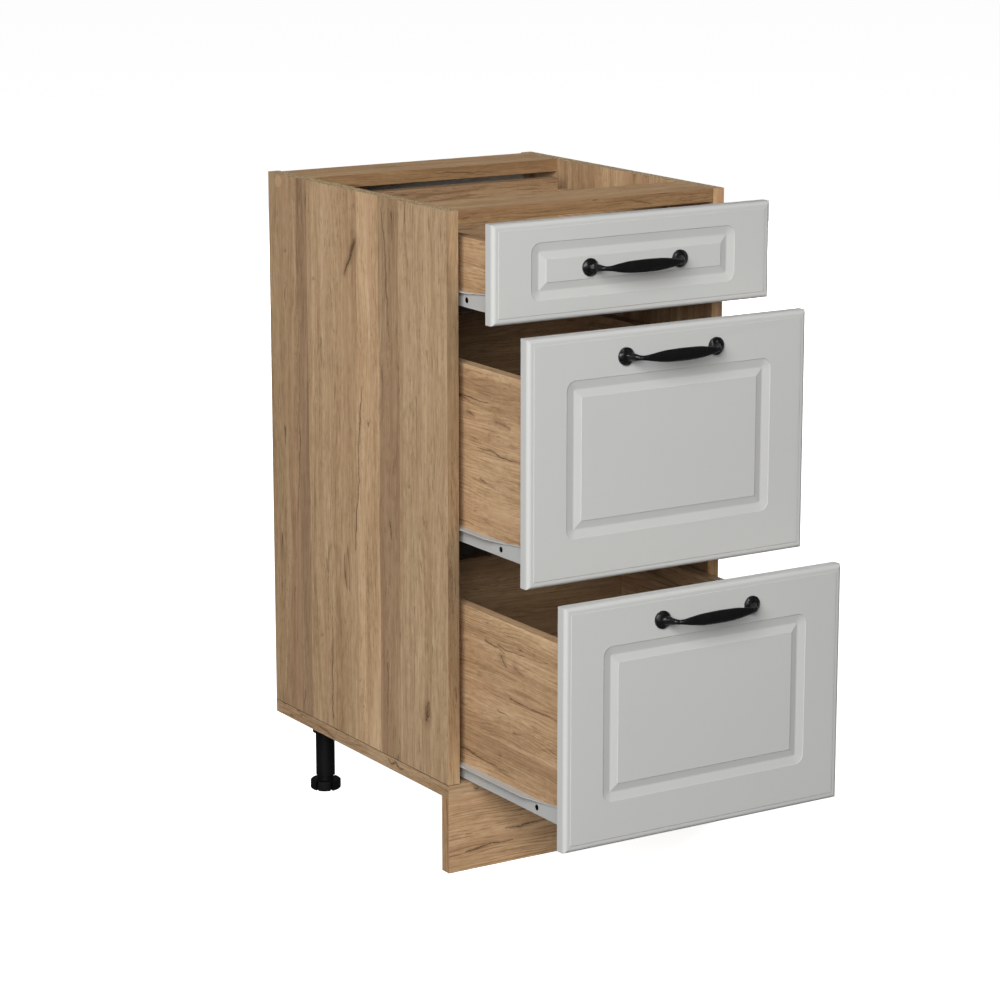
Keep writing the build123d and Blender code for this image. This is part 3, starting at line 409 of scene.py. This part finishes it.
def draw_marks(tree, name, colour, squares, spot, axis, strokes):
    """Cracks and knots at their places on the faces square to axis: (width, strength, points in mm from the
    board's front or left end and above the floor)."""
    level = "xy".index("y" if axis == "x" else "x")
    start_of_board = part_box(name)[0][level]
    where = squares[AXES.index(axis)]
    flat = tree.vector(tree.math("SUBTRACT", spot[level], start_of_board), spot[2])
    coarse = tree.noise(flat, (0.022, 0.022, 0.01), detail=2.0)
    other = tree.noise(tree.vector_math("ADD", flat, (0.3, 0.3, 0.0)), (0.022, 0.022, 0.01), detail=2.0)
    broken = tree.stretch(tree.noise(flat, (0.004, 0.004, 0.01), detail=3.0), 0.35, 0.62, 0.35, 1.0)
    shift = tree.vector(
        tree.stretch(coarse, 0.0, 1.0, -0.004, 0.004), tree.stretch(other, 0.0, 1.0, -0.004, 0.004)
    )
    flat = tree.vector_math("ADD", flat, shift)
    away = FAR_FROM_MARK
    for width, strength, points in strokes:
        faint = MARK_FADING * (1.0 - strength)
        widths = [width] * len(points)
        widths[-1] = MARK_TAPER * width
        if len(points) > 2:
            widths[0] = MARK_TAPER * width
        for number in range(len(points) - 1):
            start, end = points[number], points[number + 1]
            stroke = tree.group(STROKE, {
                "Place": flat,
                "Start": (start[0] / 1000, start[1] / 1000, 0.0),
                "End": (end[0] / 1000, end[1] / 1000, 0.0),
                "From": widths[number] / 1000,
                "To": widths[number + 1] / 1000,
            }).outputs
            away = tree.math("MINIMUM", away, tree.math("ADD", stroke["Away"], faint))
    core = tree.math("MULTIPLY", tree.ease(away, *CORE_SPAN), broken)
    halo = tree.ease(away, *HALO_SPAN, 0.0, HALO_STRENGTH)
    colour = tree.mix(tree.math("MULTIPLY", halo, where), colour, STAIN)
    return tree.mix(tree.math("MULTIPLY", core, where), colour, CRACK)


# How far back the strips of the side panel begin, as shares of STRIP_REACH, and their tints, which are
# partly the decor's own tone from strip to strip and partly painted light that lightens the panel
STRIP_REACH = 0.45
SIDE_STRIPS = (
    (0.0, (1.06, 1.08, 1.10, 1.0)),
    (0.122, (1.10, 1.14, 1.18, 1.0)),
    (0.249, (0.85, 0.84, 0.84, 1.0)),
    (0.357, (1.27, 1.28, 1.28, 1.0)),
    (0.479, (1.09, 1.09, 1.08, 1.0)),
    (0.635, (1.10, 1.11, 1.11, 1.0)),
    (0.756, (0.79, 0.77, 0.78, 1.0)),
    (0.817, (0.97, 0.95, 0.95, 1.0)),
    (0.895, (0.94, 0.93, 0.91, 1.0)),
)

SIDE_MARKS = (
    (1.3, 0.8, ((154, 802), (145, 760), (142, 701), (136, 641))),
    (1.0, 0.6, ((363, 814), (363, 754))),
    (0.9, 0.4, ((122, 801), (123, 735))),
    (7.0, 0.75, ((219, 753), (245, 709))),
    (2.0, 0.8, ((398, 719), (398, 717))),
    (2.0, 0.7, ((325, 693), (325, 691))),
    (1.2, 0.7, ((307, 619), (307, 581))),
    (1.4, 0.5, ((46, 642), (45, 626))),
    (1.4, 0.8, ((204, 575), (208, 535), (214, 502), (214, 454), (222, 389), (225, 361))),
    (1.0, 0.6, ((154, 608), (152, 531))),
    (2.6, 0.7, ((189, 530), (189, 526))),
    (2.4, 0.8, ((407, 488), (405, 465))),
    (1.1, 0.6, ((368, 525), (366, 472), (371, 406), (376, 356))),
    (1.0, 0.4, ((344, 558), (344, 499))),
    (2.2, 0.7, ((90, 469), (90, 467))),
    (3.0, 0.6, ((138, 414), (134, 395))),
    (0.9, 0.5, ((72, 583), (72, 491))),
    (1.3, 0.8, ((284, 255), (287, 194), (287, 129), (284, 116))),
    (1.1, 0.7, ((145, 232), (148, 111))),
    (1.2, 0.6, ((386, 278), (388, 259))),
    (1.2, 0.6, ((421, 275), (421, 258))),
    (3.2, 0.5, ((44, 208), (53, 198), (52, 186), (45, 190), (44, 208))),
    (6.0, 0.65, ((52, 184), (47, 206))),
    (2.4, 0.6, ((314, 230), (314, 228))),
    (1.2, 0.6, ((362, 144), (365, 120))),
    (1.4, 0.5, ((78, 320), (78, 311))),
    (0.9, 0.4, ((295, 312), (295, 255))),
)
MIDDLE_SIDE_MARKS = (
    (1.3, 0.9, ((182, 593), (114, 591))),
    (1.2, 0.8, ((180, 592), (155, 588))),
    (1.2, 0.8, ((137, 534), (109, 535), (77, 532), (40, 532))),
    (1.4, 0.8, ((132, 498), (116, 494))),
    (1.0, 0.8, ((180, 439), (145, 440))),
    (5.0, 0.35, ((160, 574), (146, 571))),
    (5.0, 0.30, ((97, 573), (66, 570))),
)
BOTTOM_SIDE_MARKS = (
    (1.2, 0.8, ((258, 153), (149, 149))),
    (1.2, 0.8, ((96, 241), (40, 240))),
    (1.2, 0.8, ((144, 242), (96, 241))),
    (1.2, 0.6, ((137, 202), (117, 202))),
    (1.6, 0.6, ((166, 165), (164, 165))),
    (1.6, 0.9, ((200, 302), (156, 296))),
    (1.2, 0.8, ((172, 301), (112, 300))),
    (5.0, 0.45, ((163, 289), (154, 279))),
    (5.0, 0.30, ((134, 282), (117, 277))),
    (1.1, 0.8, ((172, 222), (148, 218))),
)
BASE_SIDE_MARKS = (
    (1.6, 0.8, ((148, 108), (138, 104), (128, 107), (118, 102), (108, 104))),
    (1.4, 0.7, ((330, 106), (305, 102), (282, 98))),
)
BASE_FRONT_MARKS = ((2.6, 0.55, ((36, 104), (40, 102), (44, 103))),)
PLINTH_MARKS = (
    (1.8, 0.9, ((82, 45), (105, 42), (126, 44), (143, 44))),
    (1.7, 0.9, ((24, 23), (39, 26), (63, 27), (92, 26))),
)
BACK_RAIL_MARKS = ((1.0, 0.8, ((178, 811), (229, 808), (279, 805))),)
FRONT_RAIL_MARKS = ((1.0, 0.8, ((236, 812), (258, 808), (278, 804))),)

# Painted light and shade: tints that lighten the rails, drawer sides and plinth and darken the back boards
# as whole boards, and one that darkens the rails' faces square to Y
RAIL_PAINTED_LIGHT = (1.08, 1.02, 0.91, 1.0)
RAIL_EDGE_PAINTED_SHADE = (0.57, 0.53, 0.49, 1.0)
BOX_PAINTED_LIGHT = (1.13, 1.12, 1.11, 1.0)
BACK_BOARD_PAINTED_SHADE = (0.75, 0.73, 0.70, 1.0)
PLINTH_PAINTED_LIGHT = (1.14, 1.10, 1.06, 1.0)

# Grain direction and the way across it, for faces square to X, Y and Z
SIDE_FACES = ("zy", "zx", "chip")
BASE_FACES = ("yz", "xz", "xy")
RAIL_FACES = ("chip", "xz", "xy")
PLINTH_FACES = ("zy", "xz", "chip")
BOX_SIDE_FACES = ("yz", "zx", "yx")
BOX_BACK_FACES = ("chip", "xz", "xy")


# Plain finishes


def film_white():
    """Pale film on the milled fronts."""
    material, tree, shader = new_material("front_film", roughness=0.46, specular_ior_level=0.2)
    place = tree.place()
    cloud = tree.noise(place, (0.2, 0.2, 0.2), detail=2.0)
    tree.feed(shader.inputs["Base Color"], tree.mix(cloud, shade(199, 199, 197), shade(203, 203, 200)))
    peel = tree.noise(place, (0.0022, 0.0022, 0.0022), detail=2.0)
    tree.feed(shader.inputs["Normal"], tree.bump(peel, 0.00001, 0.4, tree.rounded(BOARD_EDGE)))
    tree.feed(shader.inputs["Roughness"], tree.stretch(cloud, 0.0, 1.0, 0.40, 0.46))
    return material


def hardboard():
    """White-lacquered hardboard, with its faint felt texture."""
    material, tree, shader = new_material("white_hardboard", roughness=0.55)
    place = tree.place()
    felt = tree.noise(place, (0.0007, 0.0007, 0.0007), detail=3.0)
    tree.feed(shader.inputs["Base Color"], tree.mix(felt, shade(205, 204, 200), shade(220, 219, 215)))
    tree.feed(shader.inputs["Normal"], tree.bump(felt, 0.00005, 0.5))
    return material


def black_lacquer():
    """Black lacquered cast metal, dented on the rosettes."""
    material, tree, shader = new_material("black_handle", roughness=0.34, specular_ior_level=0.32)
    place = tree.place()
    cast = tree.noise(place, (0.0012, 0.0012, 0.0012), detail=3.0, roughness=0.6)
    soft = tree.noise(place, (0.006, 0.006, 0.006), detail=2.0)
    tree.feed(shader.inputs["Base Color"], tree.mix(soft, shade(9, 9, 10), shade(17, 17, 18)))
    tree.feed(shader.inputs["Roughness"], tree.stretch(soft, 0.3, 0.7, 0.28, 0.42))
    away = tree.math("ABSOLUTE", tree.split(place)[0])
    dents = tree.cells(place, (0.0080, 0.0080, 0.0080), "SMOOTH_F1")["Distance"]
    dents = tree.math("MULTIPLY", tree.ease(dents, 0.0, 0.55), tree.ease(away, 0.052, 0.058))
    uneven = tree.math("MULTIPLY_ADD", soft, 0.8, tree.math("MULTIPLY", cast, 0.10))
    uneven = tree.math("MULTIPLY_ADD", dents, 1.6, uneven)
    tree.feed(shader.inputs["Normal"], tree.bump(uneven, 0.0012, 0.8))
    return material


def moulded(name, dark, light, roughness, shine=0.5):
    """Moulded plastic with a fine spark-eroded grain."""
    material, tree, shader = new_material(name, roughness=roughness, specular_ior_level=shine)
    place = tree.place()
    grain = tree.noise(place, (0.0006, 0.0006, 0.0006), detail=2.0)
    wear = tree.noise(place, (0.02, 0.02, 0.02), detail=3.0)
    tree.feed(shader.inputs["Base Color"], tree.mix(wear, dark, light))
    tree.feed(shader.inputs["Roughness"], tree.stretch(wear, 0.2, 0.8, roughness - 0.06, roughness + 0.08))
    tree.feed(shader.inputs["Normal"], tree.bump(grain, 0.00004, 0.5, tree.rounded(STEEL_EDGE)))
    return material


def painted_steel():
    """White powder coat on the runners."""
    material, tree, shader = new_material("white_steel", roughness=0.38, specular_ior_level=0.4)
    place = tree.place()
    peel = tree.noise(place, (0.0014, 0.0014, 0.0014), detail=2.0)
    cloud = tree.noise(place, (0.03, 0.03, 0.03), detail=2.0)
    tree.feed(shader.inputs["Base Color"], tree.mix(cloud, shade(182, 182, 180), shade(190, 190, 188)))
    tree.feed(shader.inputs["Normal"], tree.bump(peel, 0.00003, 0.5, tree.rounded(STEEL_EDGE)))
    tree.feed(shader.inputs["Roughness"], tree.stretch(cloud, 0.0, 1.0, 0.34, 0.44))
    return material


def plated(name, dark, light, roughness):
    """Plated steel, with the faint patches of its passivation."""
    material, tree, shader = new_material(name, metallic=1.0, roughness=roughness)
    place = tree.place()
    patch = tree.noise(place, (0.004, 0.004, 0.004), detail=3.0)
    turned = tree.noise(place, (0.0004, 0.0004, 0.0004), detail=2.0)
    tree.feed(shader.inputs["Base Color"], tree.mix(patch, dark, light))
    tree.feed(shader.inputs["Roughness"], tree.stretch(patch, 0.2, 0.8, roughness - 0.08, roughness + 0.10))
    tree.feed(shader.inputs["Normal"], tree.bump(turned, 0.00002, 0.4))
    return material


FINISHES = {
    "front_film": film_white(),
    "white_hardboard": hardboard(),
    "black_handle": black_lacquer(),
    "black_plastic": moulded("black_plastic", shade(6, 6, 6), shade(11, 11, 10), 0.55, 0.18),
    "white_steel": painted_steel(),
    "roller_nylon": moulded("roller_nylon", shade(204, 203, 198), shade(218, 217, 212), 0.40),
    "black_screw": plated("black_screw", shade(34, 34, 36), shade(56, 56, 58), 0.40),
    "zinc_steel": plated("zinc_steel", shade(176, 178, 182), shade(206, 208, 212), 0.32),
    "cap_plastic": moulded("cap_plastic", shade(184, 152, 115), shade(196, 164, 126), 0.45),
}

BOARDS = {
    "left_side_panel": board_material(
        "left_side_panel", SIDE_FACES, 0.11, 0.25, SIDE_STRIPS, [("x", SIDE_MARKS)]
    ),
    "right_side_panel": board_material("right_side_panel", SIDE_FACES, 0.83),
    "base_panel": board_material(
        "base_panel", BASE_FACES, 1.37, 0.5, None, [("x", BASE_SIDE_MARKS), ("y", BASE_FRONT_MARKS)]
    ),
    "front_top_rail": board_material(
        "front_top_rail", RAIL_FACES, 2.05, 0.5, None, [("y", FRONT_RAIL_MARKS)], RAIL_PAINTED_LIGHT, RAIL_EDGE_PAINTED_SHADE
    ),
    "back_top_rail": board_material(
        "back_top_rail", RAIL_FACES, 2.71, 0.5, None, [("y", BACK_RAIL_MARKS)], RAIL_PAINTED_LIGHT, RAIL_EDGE_PAINTED_SHADE
    ),
    "plinth_board": board_material(
        "plinth_board", PLINTH_FACES, 3.13, 1.0, None, [("y", PLINTH_MARKS)], PLINTH_PAINTED_LIGHT
    ),
    "top_drawer_left_side": board_material(
        "top_drawer_left_side", BOX_SIDE_FACES, 4.3, 0.6, tone=BOX_PAINTED_LIGHT
    ),
    "middle_drawer_left_side": board_material(
        "middle_drawer_left_side", BOX_SIDE_FACES, 5.3, 0.6, None, [("x", MIDDLE_SIDE_MARKS)], BOX_PAINTED_LIGHT
    ),
    "bottom_drawer_left_side": board_material(
        "bottom_drawer_left_side", BOX_SIDE_FACES, 6.3, 0.6, None, [("x", BOTTOM_SIDE_MARKS)], BOX_PAINTED_LIGHT
    ),
}
for number, drawer in enumerate(("top_drawer", "middle_drawer", "bottom_drawer")):
    name = f"{drawer}_right_side"
    BOARDS[name] = board_material(name, BOX_SIDE_FACES, 7.9 + number, 0.7)
    name = f"{drawer}_back_board"
    BOARDS[name] = board_material(name, BOX_BACK_FACES, 11.6 + number, 0.7, tone=BACK_BOARD_PAINTED_SHADE)


def finish_nodes():
    """Gives every CAD node its material."""
    for name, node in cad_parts.items():
        for slot in node.material_slots:
            slot.material = BOARDS[name] if name in BOARDS else FINISHES[slot.material.name.split(".")[0]]


# Studio


def add_stage():
    """Large pale floor and far walls, which glow so that they stay pale under a low light."""
    half = FLOOR_SIZE / 2
    square = ((-half, -half), (half, -half), (half, half), (-half, half))
    corners = [(x, y, z) for z in (0.0, BACKDROP_HEIGHT) for x, y in square]
    walls = [(side, (side + 1) % 4, (side + 1) % 4 + 4, side + 4) for side in range(4)]
    material, tree, shader = new_material("floor_paper", roughness=0.9, specular_ior_level=0.1)
    shader.inputs["Base Color"].default_value = shade(245, 245, 245)
    shader.inputs["Emission Color"].default_value = (1.0, 1.0, 1.0, 1.0)
    shader.inputs["Emission Strength"].default_value = FLOOR_GLOW
    for name, faces in (("floor", [(0, 1, 2, 3)]), ("backdrop", walls)):
        mesh = bpy.data.meshes.new(name)
        mesh.from_pydata(corners if name == "backdrop" else corners[:4], [], faces)
        mesh.materials.append(material)
        piece = bpy.data.objects.new(name, mesh)
        bpy.context.scene.collection.objects.link(piece)
        piece.visible_diffuse = False
        piece.visible_glossy = False
        piece.visible_shadow = name == "floor"


def add_disk_light(name, place, aim, size, power):
    light = bpy.data.lights.new(name, "AREA")
    light.shape = "DISK"
    light.size = size
    light.energy = power
    lamp = bpy.data.objects.new(name, light)
    lamp.location = place
    lamp.rotation_euler = (Vector(aim) - lamp.location).to_track_quat("-Z", "Y").to_euler()
    bpy.context.scene.collection.objects.link(lamp)
    return lamp


def add_lights():
    """Even light all round, a broad key from the front left and a weaker fill from the back right."""
    world = bpy.data.worlds.new("studio")
    world.use_nodes = True
    background = world.node_tree.nodes["Background"]
    background.inputs["Color"].default_value = (1.0, 1.0, 1.0, 1.0)
    background.inputs["Strength"].default_value = WORLD_LIGHT
    bpy.context.scene.world = world
    add_disk_light("key", KEY_PLACE, LIGHT_AIM, LIGHT_SIZE, KEY_POWER)
    fill = add_disk_light("fill", FILL_PLACE, LIGHT_AIM, LIGHT_SIZE, FILL_POWER)
    fill.visible_glossy = False


def add_camera():
    """Camera at the photograph's viewing angle."""
    data = bpy.data.cameras.new("camera")
    data.lens = CAMERA_LENS
    data.clip_end = CAMERA_REACH
    camera = bpy.data.objects.new("camera", data)
    camera.location = CAMERA_PLACE
    camera.rotation_euler = (radians(90) - CAMERA_PITCH, 0.0, -CAMERA_HEADING)
    bpy.context.scene.collection.objects.link(camera)
    bpy.context.scene.camera = camera
    bpy.context.scene.view_settings.view_transform = "Standard"


finish_nodes()
add_stage()
add_lights()
add_camera()
